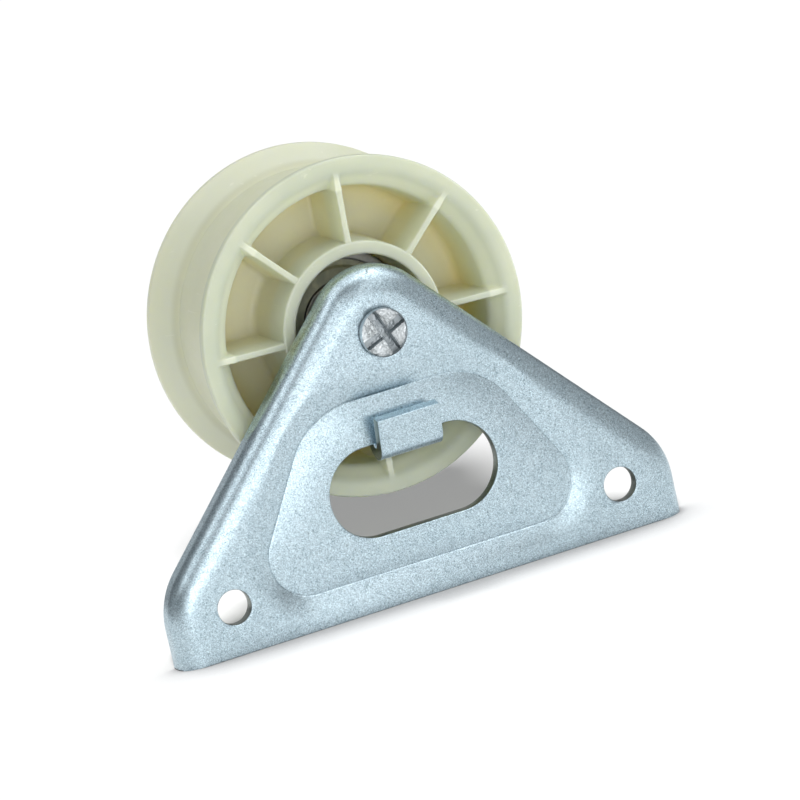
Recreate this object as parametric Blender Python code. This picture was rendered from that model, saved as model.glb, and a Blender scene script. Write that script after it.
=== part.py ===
"""Belt tensioner idler: a pressed sheet-steel bracket carrying a grooved nylon pulley on a ball bearing.

Frame: +Z runs up the bracket from its straight base edge, +X along that edge, and +Y from the bracket
towards the pulley, along the pulley's axis. The origin is the middle of the base edge, halfway through
the sheet. Every length below is in millimetres and becomes metres when a mesh is made.
"""

import math

import bmesh
import bpy
import numpy as np

MM = 0.001

# Clearance between pieces that touch or roll on each other
PLAY = 0.1

# Bracket sheet and its turned-back flange
SHEET = 2.0
BEND_INSIDE = 2.0
FLANGE_DEPTH = 5.0
FRONT_FACE = -SHEET / 2
BACK_FACE = SHEET / 2
BEND_OUTSIDE = BEND_INSIDE + SHEET
FLANGE_END = FRONT_FACE + FLANGE_DEPTH

# Axle and the two screw holes
AXLE_HEIGHT = 41.4
AXLE_RADIUS = 4.0
SCREW_SPACING = 65.0
SCREW_HEIGHT = 7.5
SCREW_HOLE_RADIUS = 2.7

# Outlines, each a belt drawn tight around circles (x, z, radius)
HALF_WIDTH = 42.4
HIP_RADIUS = 12.0
HIP_HEIGHT = 6.1
APEX_RADIUS = 9.95
OUTLINE = [
    (0.0, AXLE_HEIGHT, APEX_RADIUS),
    (HIP_RADIUS - HALF_WIDTH, HIP_HEIGHT, HIP_RADIUS),
    (HALF_WIDTH - HIP_RADIUS, HIP_HEIGHT, HIP_RADIUS),
    (HIP_RADIUS - HALF_WIDTH, -HIP_RADIUS, HIP_RADIUS),
    (HALF_WIDTH - HIP_RADIUS, -HIP_RADIUS, HIP_RADIUS),
]
RECESS = [(-18.8, 11.8, 6.5), (18.8, 11.8, 6.5), (-7.5, 20.3, 12.0), (7.5, 20.3, 12.0)]
SLOT_LENGTH = 27.8
SLOT_WIDTH = 14.0
SLOT_HEIGHT = 18.0
SLOT_END = (SLOT_LENGTH - SLOT_WIDTH) / 2
SLOT = [(-SLOT_END, SLOT_HEIGHT, SLOT_WIDTH / 2), (SLOT_END, SLOT_HEIGHT, SLOT_WIDTH / 2)]

# Pressed recess: deepest along its crease, with the floor doming back up to the slot
CREASE_DEPTH = 1.1
SLOT_EDGE_DEPTH = 0.3
WALL_WIDTH = 4.0
DOME_SHARES = (0.0, 0.45, 0.75)
WALL_SHARES = (0.0, 0.3, 0.6, 1.0)

# Spring hook, folded forwards and up from the slot's top edge
HOOK_WIDTH = 10.3
HOOK_SHEET = 1.9
HOOK_FOLD = 0.55
HOOK_LEAN = math.radians(14)
HOOK_RISE = 4.85
HOOK_ROOT = 1.2
HOOK_SINK = 0.05

# Pulley: two flanges, a flat-bottomed groove, a hub, a web and ribs on both sides
PULLEY_GAP = 5.0
PULLEY_WIDTH = 25.4
PULLEY_RADIUS = 26.15
GROOVE_RADIUS = 23.0
RIM_EDGE = 1.35
RIM_BEVEL = 0.35
FLANK_DEPTH = 5.3
LIP_RADIUS = 23.4
LIP_DEPTH = 2.2
POCKET_RADIUS = 21.4
POCKET_DRAFT = 0.6
HUB_RADIUS = 13.1
HUB_DRAFT = 0.4
WEB = 2.4
SHOULDER_RADIUS = 9.6
SHOULDER = 2.0
RIB_COUNT = 8
RIB_THICKNESS = 1.3
RIB_PHASE = math.radians(-2.3)
RIB_SET_BACK = 0.15
RIB_SINK = 0.5
PULLEY_FRONT = BACK_FACE + PULLEY_GAP
PULLEY_MIDDLE = PULLEY_FRONT + PULLEY_WIDTH / 2

# Ball bearing, 8 x 22 x 7, in the middle of the pulley
BEARING_RADIUS = 11.0
BEARING_WIDTH = 7.0
BALL_COUNT = 7
BALL_RADIUS = 3.969 / 2
BALL_CIRCLE = 7.5
OUTER_LAND = 8.95
INNER_LAND = 6.0
SHIELD_SEAT = 9.5
SHIELD_SEAT_DEPTH = 0.8
RING_BEVEL = 0.3
SHIELD = 0.3
SHIELD_STEP = 8.3
SHIELD_STEP_RUN = 0.4
SHIELD_BORE_GAP = 0.25
SHIELD_SET_BACK = 0.05
CAGE_INSIDE = 6.5
CAGE_OUTSIDE = 8.5
CAGE_SHEET = 0.4
CAGE_PLAY = 0.15
BEARING_FRONT = PULLEY_MIDDLE - BEARING_WIDTH / 2
BEARING_BACK = PULLEY_MIDDLE + BEARING_WIDTH / 2

# Axle pin, spacer and washer
SLEEVE_RADIUS = 5.75
WASHER_RADIUS = 7.0
WASHER = 1.0
PIN_STAKE_HEIGHT = 1.5
PIN_BEVEL = 0.5
PIN_HEAD_RADIUS = 5.75
PIN_HEAD = 2.4
STAKE_WIDTH = 1.5
STAKE_DEPTH = 0.6
STAKE_FLOOR = 0.8
STAKE_TURN = math.radians(23.5)

# How finely curved shapes are divided
BRACKET_RAYS = 84
BEND_STEPS = 4
PULLEY_SIDES = 56
RING_SIDES = 44
SMALL_SIDES = 32
GROOVE_STEPS = 4
CAGE_STEPS = 10
HOOK_STEPS = (8, 5)
BALL_SIDES = 12
BALL_STEPS = 6
BALL_CAP = 12
BELT_STEP = 0.25

# Reach of the cutting tools past what they cut
CUT_REACH = 5.0
BASE_CUT = 60.0

MATERIALS = {
    "zinc_sheet": ((0.56, 0.63, 0.66), 0.42, 1.0),
    "nylon": ((0.80, 0.79, 0.62), 0.45, 0.0),
    "turned_steel": ((0.50, 0.50, 0.51), 0.30, 1.0),
    "bearing_steel": ((0.42, 0.42, 0.43), 0.22, 1.0),
    "shield_steel": ((0.36, 0.35, 0.32), 0.35, 1.0),
}


def clear_scene():
    for scene_object in list(bpy.data.objects):
        bpy.data.objects.remove(scene_object, do_unlink=True)


def material(name):
    """A Principled material, made the first time it is asked for."""
    if name in bpy.data.materials:
        return bpy.data.materials[name]
    colour, roughness, metallic = MATERIALS[name]
    made = bpy.data.materials.new(name)
    made.use_nodes = True
    shader = made.node_tree.nodes["Principled BSDF"]
    shader.inputs["Base Color"].default_value = (*colour, 1.0)
    shader.inputs["Roughness"].default_value = roughness
    shader.inputs["Metallic"].default_value = metallic
    return made


def add_object(name, mesh, finish=None, parent=None):
    """Put a mesh in the scene, as a cutter when it has no finish."""
    made = bpy.data.objects.new(name, mesh)
    bpy.context.collection.objects.link(made)
    made.parent = parent
    if finish:
        mesh.materials.append(material(finish))
        mesh.shade_smooth()
        mesh.set_sharp_from_angle(angle=math.radians(30))
    else:
        made.hide_render = True
        made.display_type = "WIRE"
    return made


def add_empty(name, height, depth=0.0):
    """An empty on the line x = 0, which carries the pieces made around it."""
    made = bpy.data.objects.new(name, None)
    made.location = (0.0, depth * MM, height * MM)
    bpy.context.collection.objects.link(made)
    return made


def loft(name, rings, closed=True):
    """A mesh through rings of (x, y, z) points: joined end to end, or capped at both ends."""
    work = bmesh.new()
    rows = [[work.verts.new([value * MM for value in point]) for point in ring] for ring in rings]
    pairs = list(zip(rows, rows[1:]))
    if closed:
        pairs.append((rows[-1], rows[0]))
    else:
        work.faces.new(rows[0])
        work.faces.new(rows[-1])
    for here, there in pairs:
        for index in range(len(here)):
            work.faces.new((here[index - 1], here[index], there[index], there[index - 1]))
    bmesh.ops.recalc_face_normals(work, faces=work.faces)
    mesh = bpy.data.meshes.new(name)
    work.to_mesh(mesh)
    work.free()
    return mesh


def turned(name, profile, sides, closed=True):
    """A mesh turned about the Y axis from a profile of (radius, y) points."""
    angles = [2 * math.pi * step / sides for step in range(sides)]
    rings = [[(radius * math.cos(a), y, radius * math.sin(a)) for a in angles] for radius, y in profile]
    return loft(name, rings, closed)


def prism(name, outline, thickness):
    """A mesh extruded along X, centred on x = 0, from an outline of (y, z) points."""
    sides = (-thickness / 2, thickness / 2)
    return loft(name, [[(x, y, z) for y, z in outline] for x in sides], closed=False)


def box(name, low, high):
    outline = [(low[1], low[2]), (high[1], low[2]), (high[1], high[2]), (low[1], high[2])]
    return loft(name, [[(x, y, z) for y, z in outline] for x in (low[0], high[0])], closed=False)


def joined(name, meshes_and_matrices):
    """One mesh from several, each placed by its matrix."""
    work = bmesh.new()
    for mesh, matrix in meshes_and_matrices:
        first = len(work.verts)
        work.from_mesh(mesh)
        work.verts.ensure_lookup_table()
        for vertex in work.verts[first:]:
            vertex.co = matrix @ vertex.co
    mesh = bpy.data.meshes.new(name)
    work.to_mesh(mesh)
    work.free()
    return mesh


def combine(target, tool, operation):
    modifier = target.modifiers.new(tool.name, "BOOLEAN")
    modifier.operation = operation
    modifier.object = tool


def arc(centre, radius, start, end, steps):
    """Points (u, v) from start to end, in degrees, about a centre."""
    angles = [math.radians(start + (end - start) * step / steps) for step in range(steps + 1)]
    return [(centre[0] + radius * math.cos(a), centre[1] + radius * math.sin(a)) for a in angles]


def belt_ring(circles, growth):
    """Points (x, z) on a belt around circles, met by rays from the slot's middle.

    The belt is the tightest of the straight lines that touch the circles from outside.
    """
    facing = np.radians(np.arange(0.0, 360.0, BELT_STEP))
    normals = np.stack([np.cos(facing), np.sin(facing)], axis=1)
    middle = np.array([0.0, SLOT_HEIGHT])
    centres = np.array([circle[:2] for circle in circles])
    radii = np.array([circle[2] for circle in circles]) + growth
    support = ((centres - middle) @ normals.T + radii[:, None]).max(axis=0)
    rays = 2 * np.pi * np.arange(BRACKET_RAYS) / BRACKET_RAYS
    directions = np.stack([np.cos(rays), np.sin(rays)], axis=1)
    grazing = 0.02
    along = directions @ normals.T
    distance = np.where(along > grazing, support / np.maximum(along, grazing), np.inf).min(axis=1)
    return middle + directions * distance[:, None]


def sheet_layers():
    """Stations across the pressed sheet, from the slot to where the bend starts: (ring, depth)."""
    slot_ring = belt_ring(SLOT, 0.0)
    crease_ring = belt_ring(RECESS, 0.0)
    layers = []
    for share in DOME_SHARES:
        depth = SLOT_EDGE_DEPTH + (CREASE_DEPTH - SLOT_EDGE_DEPTH) * share ** 2
        layers.append((slot_ring + (crease_ring - slot_ring) * share, depth))
    for share in WALL_SHARES:
        layers.append((belt_ring(RECESS, WALL_WIDTH * share), CREASE_DEPTH * (1 - share) ** 2))
    return layers


def bend_rings(radius):
    """Rings round the bend, outside or inside the sheet, from the flat to the flange."""
    bend_middle = FRONT_FACE + BEND_OUTSIDE
    rings = []
    for across, y in arc((0.0, bend_middle), radius, -90, 0, BEND_STEPS):
        rings.append((belt_ring(OUTLINE, across - BEND_OUTSIDE), y))
    return rings


def pressed_sheet():
    """The pan: front skin outwards from the slot, round the flange's end, and back along the rear skin."""
    layers = sheet_layers()
    path = [(ring, FRONT_FACE + depth) for ring, depth in layers]
    path += bend_rings(BEND_OUTSIDE)
    path.append((belt_ring(OUTLINE, 0.0), FLANGE_END))
    path.append((belt_ring(OUTLINE, -SHEET), FLANGE_END))
    path += reversed(bend_rings(BEND_INSIDE))
    path += [(ring, BACK_FACE + depth) for ring, depth in reversed(layers)]
    return loft("bracket", [[(x, y, z) for x, z in ring] for ring, y in path])


def hook_outline():
    """Side view of the spring hook, as (y, z): down from the sheet, forwards, and up to the tip."""
    root_z = SLOT_HEIGHT + SLOT_WIDTH / 2
    inner_face = FRONT_FACE + SLOT_EDGE_DEPTH + HOOK_SINK
    middle = (inner_face - HOOK_FOLD, root_z)
    sweep = -180 + math.degrees(HOOK_LEAN)
    outer_steps, inner_steps = HOOK_STEPS
    outside = arc(middle, HOOK_FOLD + HOOK_SHEET, 0, sweep, outer_steps)
    inside = arc(middle, HOOK_FOLD, sweep, 0, inner_steps)
    lean_y = -HOOK_RISE * math.sin(HOOK_LEAN)
    lean_z = HOOK_RISE * math.cos(HOOK_LEAN)
    tip_front = (outside[-1][0] + lean_y, outside[-1][1] + lean_z)
    tip_back = (inside[0][0] + lean_y, inside[0][1] + lean_z)
    root = [(inner_face, root_z + HOOK_ROOT), (inner_face + HOOK_SHEET, root_z + HOOK_ROOT)]
    return outside + [tip_front, tip_back] + inside + root


def make_bracket():
    bracket = add_object("bracket", pressed_sheet(), "zinc_sheet")
    hook = add_object("hook_tool", prism("hook_tool", hook_outline(), HOOK_WIDTH))
    combine(bracket, hook, "UNION")
    below = box("below_base", (-BASE_CUT, -CUT_REACH, -BASE_CUT), (BASE_CUT, FLANGE_END + CUT_REACH, 0))
    combine(bracket, add_object("below_base", below), "DIFFERENCE")
    hole_profile = [(SCREW_HOLE_RADIUS, -CUT_REACH), (SCREW_HOLE_RADIUS, CUT_REACH)]
    screw_hole = turned("screw_hole", hole_profile, SMALL_SIDES, closed=False)
    for side in (-1, 1):
        cutter = add_object("screw_hole_cutter", screw_hole)
        cutter.location = (side * SCREW_SPACING / 2 * MM, 0.0, SCREW_HEIGHT * MM)
        combine(bracket, cutter, "DIFFERENCE")
    hole_profile = [(AXLE_RADIUS + PLAY, -CUT_REACH), (AXLE_RADIUS + PLAY, CUT_REACH)]
    axle_hole = turned("axle_hole", hole_profile, SMALL_SIDES, closed=False)
    cutter = add_object("axle_hole_cutter", axle_hole)
    cutter.location = (0.0, 0.0, AXLE_HEIGHT * MM)
    combine(bracket, cutter, "DIFFERENCE")


def make_axle_pin(axle):
    """A headed pin, put in from behind and staked over the bracket's front with a cross."""
    tip = FRONT_FACE - PIN_STAKE_HEIGHT
    head_start = BEARING_BACK + WASHER + 2 * PLAY
    head_end = head_start + PIN_HEAD
    profile = [
        (AXLE_RADIUS - PIN_BEVEL, tip),
        (AXLE_RADIUS, tip + PIN_BEVEL),
        (AXLE_RADIUS, head_start),
        (PIN_HEAD_RADIUS, head_start),
        (PIN_HEAD_RADIUS, head_end - PIN_BEVEL),
        (PIN_HEAD_RADIUS - PIN_BEVEL, head_end),
    ]
    pin = add_object("axle_pin", turned("axle_pin", profile, SMALL_SIDES, closed=False), "turned_steel", axle)
    floor = tip + STAKE_DEPTH
    flare = (STAKE_WIDTH - STAKE_FLOOR) / STAKE_DEPTH / 2
    half_top = STAKE_WIDTH / 2 + flare
    notch = [(tip - 1, -half_top), (floor, -STAKE_FLOOR / 2), (floor, STAKE_FLOOR / 2), (tip - 1, half_top)]
    for quarter in (0, 1):
        cutter = add_object("stake_cutter", prism("stake_cutter", notch, 3 * AXLE_RADIUS), parent=axle)
        cutter.rotation_euler.y = -STAKE_TURN - quarter * math.pi / 2
        combine(pin, cutter, "DIFFERENCE")


def make_spacer_and_washer(axle):
    bore = AXLE_RADIUS + PLAY
    sleeve = [
        (bore, BACK_FACE + PLAY),
        (SLEEVE_RADIUS, BACK_FACE + PLAY),
        (SLEEVE_RADIUS, BEARING_FRONT - PLAY),
        (bore, BEARING_FRONT - PLAY),
    ]
    add_object("spacer_sleeve", turned("spacer_sleeve", sleeve, SMALL_SIDES), "turned_steel", axle)
    washer_start = BEARING_BACK + PLAY
    washer = [
        (bore, washer_start),
        (WASHER_RADIUS, washer_start),
        (WASHER_RADIUS, washer_start + WASHER),
        (bore, washer_start + WASHER),
    ]
    add_object("rear_washer", turned("rear_washer", washer, SMALL_SIDES), "turned_steel", axle)


def pulley_profile():
    """Half section of the pulley as (radius, y), with y from the middle of its width."""
    half = PULLEY_WIDTH / 2
    bore = BEARING_RADIUS + PLAY
    shoulder_start = BEARING_WIDTH / 2 + PLAY
    outer_side = [
        (PULLEY_RADIUS - RIM_BEVEL, half),
        (PULLEY_RADIUS, half - RIM_BEVEL),
        (PULLEY_RADIUS, half - RIM_EDGE),
        (GROOVE_RADIUS, half - RIM_EDGE - FLANK_DEPTH),
    ]
    pocket_side = [
        (HUB_RADIUS, half),
        (HUB_RADIUS + HUB_DRAFT, WEB / 2),
        (POCKET_RADIUS - POCKET_DRAFT, WEB / 2),
        (POCKET_RADIUS, half - LIP_DEPTH),
        (LIP_RADIUS, half),
    ]
    front = [(radius, -y) for radius, y in pocket_side + outer_side]
    rear = list(reversed(pocket_side + outer_side))
    shoulder = [
        (bore, shoulder_start + SHOULDER),
        (SHOULDER_RADIUS, shoulder_start + SHOULDER),
        (SHOULDER_RADIUS, shoulder_start),
        (bore, shoulder_start),
    ]
    return front + rear + [(bore, half)] + shoulder + [(bore, -half)]


def rib_outline(side):
    """A rib's edge as (y, z) on one side of the web, with z outwards from the axis."""
    edge = side * (PULLEY_WIDTH / 2 - RIB_SET_BACK)
    lip = side * (PULLEY_WIDTH / 2 - LIP_DEPTH)
    root = side * (WEB / 2 - RIB_SINK)
    hub_end = HUB_RADIUS - RIB_SINK
    rim_end = POCKET_RADIUS + RIB_SINK
    return [(edge, hub_end), (edge, LIP_RADIUS + RIB_SINK), (lip, rim_end), (root, rim_end), (root, hub_end)]


def make_pulley(axle):
    pulley_mesh = turned("pulley", pulley_profile(), PULLEY_SIDES)
    pulley = add_object("pulley", pulley_mesh, "nylon", axle)
    pulley.location.y = PULLEY_MIDDLE * MM
    turn = bpy.data.objects.new("turn", None)
    ribs = []
    for side in (-1, 1):
        rib = prism("rib", rib_outline(side), RIB_THICKNESS)
        for step in range(RIB_COUNT):
            turn.rotation_euler.y = math.pi / 2 - RIB_PHASE - 2 * math.pi * step / RIB_COUNT
            ribs.append((rib, turn.rotation_euler.to_matrix()))
    bpy.data.objects.remove(turn)
    tool = add_object("rib_tool", joined("rib_tool", ribs), parent=pulley)
    combine(pulley, tool, "UNION")


def race_groove(start, end):
    """The groove that the balls roll in, from one land's edge to the other."""
    return arc((BALL_CIRCLE, 0.0), BALL_RADIUS + PLAY, start, end, GROOVE_STEPS)


def make_bearing_rings(bearing):
    half = BEARING_WIDTH / 2
    outer_edge = math.degrees(math.acos((OUTER_LAND - BALL_CIRCLE) / (BALL_RADIUS + PLAY)))
    seat = half - SHIELD_SEAT_DEPTH
    outer = [
        (BEARING_RADIUS, half - RING_BEVEL),
        (BEARING_RADIUS - RING_BEVEL, half),
        (SHIELD_SEAT, half),
        (SHIELD_SEAT, seat),
        (OUTER_LAND, seat),
        *race_groove(outer_edge, -outer_edge),
        (OUTER_LAND, -seat),
        (SHIELD_SEAT, -seat),
        (SHIELD_SEAT, -half),
        (BEARING_RADIUS - RING_BEVEL, -half),
        (BEARING_RADIUS, RING_BEVEL - half),
    ]
    mesh = turned("bearing_outer_ring", outer, RING_SIDES)
    add_object("bearing_outer_ring", mesh, "bearing_steel", bearing)
    inner_edge = math.degrees(math.acos((INNER_LAND - BALL_CIRCLE) / (BALL_RADIUS + PLAY)))
    bore = AXLE_RADIUS + PLAY
    inner = [
        (bore, -half),
        (INNER_LAND - RING_BEVEL, -half),
        (INNER_LAND, RING_BEVEL - half),
        *race_groove(-inner_edge, inner_edge - 360),
        (INNER_LAND, half - RING_BEVEL),
        (INNER_LAND - RING_BEVEL, half),
        (bore, half),
    ]
    mesh = turned("bearing_inner_ring", inner, SMALL_SIDES)
    add_object("bearing_inner_ring", mesh, "bearing_steel", bearing)


def make_shield(bearing, name, side):
    """A stamped disc with a raised middle, clipped into the outer ring."""
    seat = BEARING_WIDTH / 2 - SHIELD_SEAT_DEPTH + PLAY
    crown = BEARING_WIDTH / 2 - SHIELD - SHIELD_SET_BACK
    step_outside = SHIELD_STEP + SHIELD_STEP_RUN / 2
    step_inside = SHIELD_STEP - SHIELD_STEP_RUN / 2
    outline = [
        (SHIELD_SEAT - PLAY, seat),
        (SHIELD_SEAT - PLAY, seat + SHIELD),
        (step_outside, seat + SHIELD),
        (step_inside, crown + SHIELD),
        (INNER_LAND + SHIELD_BORE_GAP, crown + SHIELD),
        (INNER_LAND + SHIELD_BORE_GAP, crown),
        (step_inside - PLAY, crown),
        (step_outside - PLAY, seat),
    ]
    profile = [(radius, side * y) for radius, y in outline]
    add_object(name, turned(name, profile, RING_SIDES), "shield_steel", bearing)


def make_cage_half(bearing, name, side):
    """A pressed ribbon that waves round one side of every ball."""
    pocket = BALL_RADIUS + CAGE_PLAY
    rings = []
    stations = BALL_COUNT * CAGE_STEPS
    for station in range(stations):
        angle = 2 * math.pi * station / stations
        from_ball = math.remainder(angle, 2 * math.pi / BALL_COUNT) * BALL_CIRCLE
        inner = max(PLAY / 2, math.sqrt(max(0.0, pocket ** 2 - from_ball ** 2)))
        outer_pocket = pocket + CAGE_SHEET
        outer = max(PLAY / 2 + CAGE_SHEET, math.sqrt(max(0.0, outer_pocket ** 2 - from_ball ** 2)))
        section = [(CAGE_INSIDE, inner), (CAGE_OUTSIDE, inner), (CAGE_OUTSIDE, outer), (CAGE_INSIDE, outer)]
        rings.append([(r * math.cos(angle), side * y, r * math.sin(angle)) for r, y in section])
    add_object(name, loft(name, rings), "shield_steel", bearing)


def make_balls(bearing):
    profile = arc((0.0, 0.0), BALL_RADIUS, BALL_CAP - 90, 90 - BALL_CAP, BALL_STEPS)
    mesh = turned("ball", profile, BALL_SIDES, closed=False)
    for index in range(BALL_COUNT):
        angle = 2 * math.pi * index / BALL_COUNT
        ball = add_object(f"ball_{index + 1}", mesh, None, bearing)
        ball.hide_render = False
        ball.display_type = "TEXTURED"
        ball.location = (BALL_CIRCLE * MM * math.cos(angle), 0.0, BALL_CIRCLE * MM * math.sin(angle))
    mesh.materials.append(material("bearing_steel"))
    mesh.shade_smooth()


def main():
    clear_scene()
    axle = add_empty("axle_line", AXLE_HEIGHT)
    bearing = add_empty("bearing_middle", AXLE_HEIGHT, PULLEY_MIDDLE)
    make_bracket()
    make_axle_pin(axle)
    make_spacer_and_washer(axle)
    make_pulley(axle)
    make_bearing_rings(bearing)
    make_shield(bearing, "front_shield", -1)
    make_shield(bearing, "rear_shield", 1)
    make_cage_half(bearing, "front_cage_half", -1)
    make_cage_half(bearing, "rear_cage_half", 1)
    make_balls(bearing)


main()
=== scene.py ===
import math

import bmesh
import bpy
import numpy as np
from mathutils import Matrix, Vector, noise


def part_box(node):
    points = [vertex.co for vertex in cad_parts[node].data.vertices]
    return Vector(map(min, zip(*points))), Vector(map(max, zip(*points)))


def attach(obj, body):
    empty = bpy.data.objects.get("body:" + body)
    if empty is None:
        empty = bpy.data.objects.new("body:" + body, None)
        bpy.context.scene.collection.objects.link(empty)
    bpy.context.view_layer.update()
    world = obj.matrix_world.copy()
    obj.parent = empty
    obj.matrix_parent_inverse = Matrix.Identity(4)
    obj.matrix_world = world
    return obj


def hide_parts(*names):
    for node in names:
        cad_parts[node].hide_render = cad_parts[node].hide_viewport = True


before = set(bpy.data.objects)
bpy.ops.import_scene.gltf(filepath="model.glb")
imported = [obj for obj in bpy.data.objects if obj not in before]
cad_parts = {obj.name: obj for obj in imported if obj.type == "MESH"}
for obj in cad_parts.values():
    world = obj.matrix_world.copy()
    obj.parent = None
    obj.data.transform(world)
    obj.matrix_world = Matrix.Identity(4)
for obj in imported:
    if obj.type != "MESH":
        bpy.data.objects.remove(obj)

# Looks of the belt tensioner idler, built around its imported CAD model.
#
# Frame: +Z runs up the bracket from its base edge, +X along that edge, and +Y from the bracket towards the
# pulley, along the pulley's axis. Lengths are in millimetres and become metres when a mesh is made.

MM = 0.001


def span(node):
    """A CAD node's lowest and highest corners, in millimetres."""
    low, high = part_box(node)
    return np.array(low) / MM, np.array(high) / MM


# Places taken from the CAD model
PULLEY_LOW, PULLEY_HIGH = span("pulley")
OUTER_RING_LOW, OUTER_RING_HIGH = span("bearing_outer_ring")
SLEEVE_LOW, SLEEVE_HIGH = span("spacer_sleeve")
WASHER_LOW, WASHER_HIGH = span("rear_washer")
PIN_LOW, PIN_HIGH = span("axle_pin")
BRACKET_LOW, BRACKET_HIGH = span("bracket")
AXLE_HEIGHT = (PULLEY_LOW[2] + PULLEY_HIGH[2]) / 2
PULLEY_MIDDLE = (PULLEY_LOW[1] + PULLEY_HIGH[1]) / 2
PULLEY_RADIUS = PULLEY_HIGH[0]
PULLEY_HALF = (PULLEY_HIGH[1] - PULLEY_LOW[1]) / 2
BEARING_RADIUS = OUTER_RING_HIGH[0]
BEARING_HALF = (OUTER_RING_HIGH[1] - OUTER_RING_LOW[1]) / 2
HALF_WIDTH = BRACKET_HIGH[0]
FLOOR_LEVEL = BRACKET_LOW[2]
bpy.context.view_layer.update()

# Clearance between pieces that touch or roll on each other
PLAY = 0.1

# Bracket sheet and its turned-back flange. The bend is BEND_REACH wide and BEND_DROP deep, and the outermost
# BEND_STEEP of its width is divided by angle.
SHEET = 2.0
FRONT_FACE = -SHEET / 2
BACK_FACE = SHEET / 2
BEND_REACH = 4.4
BEND_DROP = 3.2
BEND_STEEP = 1.2
FLANGE_END = BRACKET_HIGH[1]
AXLE_RADIUS = 4.0
SCREW_SPACING = 65.0
SCREW_HEIGHT = 7.5
SCREW_HOLE_RADIUS = 2.7
HOLE_MOUTH = 0.16
EDGE_ROUND = 0.22

# Outlines, each a belt drawn tight around circles (x, z, radius)
HIP_RADIUS = 12.0
HIP_HEIGHT = 6.1
APEX_RADIUS = 9.95
OUTLINE = [
    (0.0, AXLE_HEIGHT, APEX_RADIUS),
    (HIP_RADIUS - HALF_WIDTH, HIP_HEIGHT, HIP_RADIUS),
    (HALF_WIDTH - HIP_RADIUS, HIP_HEIGHT, HIP_RADIUS),
    (HIP_RADIUS - HALF_WIDTH, -HIP_RADIUS, HIP_RADIUS),
    (HALF_WIDTH - HIP_RADIUS, -HIP_RADIUS, HIP_RADIUS),
]
RECESS = [(-18.8, 11.8, 6.5), (18.8, 11.8, 6.5), (-7.5, 20.3, 12.0), (7.5, 20.3, 12.0)]
SLOT_WIDTH = 14.0
SLOT_HEIGHT = 18.0
SLOT_END = 6.9
SLOT_MIDDLE = np.array([0.0, SLOT_HEIGHT])
SLOT = [(-SLOT_END, SLOT_HEIGHT, SLOT_WIDTH / 2), (SLOT_END, SLOT_HEIGHT, SLOT_WIDTH / 2)]

# Pressed recess: deepest along its crease, where the punch left a fine mark, with the floor doming back up
# to the slot. The rings are the lines of the mesh beside the crease, by how far outside it they lie.
CREASE_DEPTH = 0.9
CREASE_MARK = 0.08
CREASE_MARK_RUN = 0.12
CREASE_RINGS = (-0.3, -0.18, -0.1, -0.04, 0.04, 0.1, 0.18, 0.3)
SLOT_EDGE_DEPTH = 0.3
WALL_WIDTH = 4.0
WALL_CURVE = 1.55

# Spring hook, folded forwards and up from the slot's top edge
HOOK_WIDTH = 10.3
HOOK_SHEET = 1.9
HOOK_FOLD = 0.55
HOOK_LEAN = math.radians(14)
HOOK_RISE = 4.85
HOOK_ROOT = 1.2
HOOK_SINK = 0.05
HOOK_EDGE = 0.14

# Small curved nick in the apex: the centre (x, z) of its curve, and the angles where it starts and ends
NICK_CENTRE = (-0.3, 51.1)
NICK_RADIUS = 0.8
NICK_DEPTH = 0.2
NICK_START = -70
NICK_END = 50

# Pulley: two flanges, a flat-bottomed groove, a hub, a web and ribs on both sides. A point within NEAR of a
# pocket's wall counts as inside the pocket.
GROOVE_RADIUS = 23.0
RIM_EDGE = 1.35
RIM_BEVEL = 0.35
FLANK_DEPTH = 5.3
LIP_RADIUS = 23.9
LIP_DEPTH = 2.6
POCKET_RADIUS = 21.4
POCKET_DRAFT = 0.6
HUB_RADIUS = 13.1
HUB_DRAFT = 0.4
WEB = 2.4
SHOULDER_RADIUS = 9.6
SHOULDER = 2.0
RIB_COUNT = 8
RIB_THICKNESS = 0.95
RIB_PHASE = math.radians(-2.3)
RIB_SET_BACK = 0.15
RIB_EDGE = 0.22
RIB_DRAFT = 0.18
RIB_FOOT = 0.7
RIB_FLARE = 0.1
RIB_FLARE_RUN = 0.7
RIB_ROUND_SHARE = 0.4
NEAR = 0.1

# Ball bearing, 8 x 22 x 7
BALL_COUNT = 7
BALL_RADIUS = 3.969 / 2
BALL_CIRCLE = 7.5
OUTER_LAND = 8.95
INNER_LAND = 6.0
SHIELD_SEAT = 9.5
SHIELD_SEAT_DEPTH = 0.8
RING_BEVEL = 0.3
SHIELD = 0.3
SHIELD_STEP = 8.3
SHIELD_STEP_RUN = 0.4
SHIELD_BORE_GAP = 0.25
SHIELD_SET_BACK = 0.05
CAGE_INSIDE = 6.5
CAGE_OUTSIDE = 8.5
CAGE_SHEET = 0.4
CAGE_EDGE = 0.08
CAGE_PLAY = 0.15

# Axle pin: its tip is staked with a cross, whose grooves leave a ridge along both sides. The tip slopes back
# from its middle, its grooves a little more, and it is rough from the punch, coarsely and finely.
PIN_BEVEL = 0.5
PIN_HEAD = 2.4
PIN_CENTRE = 0.5
TENON_RADIUS = 3.7
TENON_PLAY = 0.02
TIP_ROUND = 0.12
TIP_EDGE = 0.02
TIP_CENTRE = 0.1
STAKE_TURN = math.radians(23.5)
STAKE_HALF = 0.52
STAKE_WALL = 0.22
STAKE_DEPTH = 0.85
STAKE_RIDGE = 0.12
STAKE_RIDGE_RUN = 0.14
STAKE_RIDGE_START = 0.1
STAKE_SLOPE = 0.1
STAKE_GROOVE_SLOPE = 0.25 * STAKE_SLOPE
STAKE_ROUGH = 0.09
STAKE_FINE_SHARE = 0.6
STAKE_COARSE_PER_MM = 2.4
STAKE_FINE_PER_MM = 6.0

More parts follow.
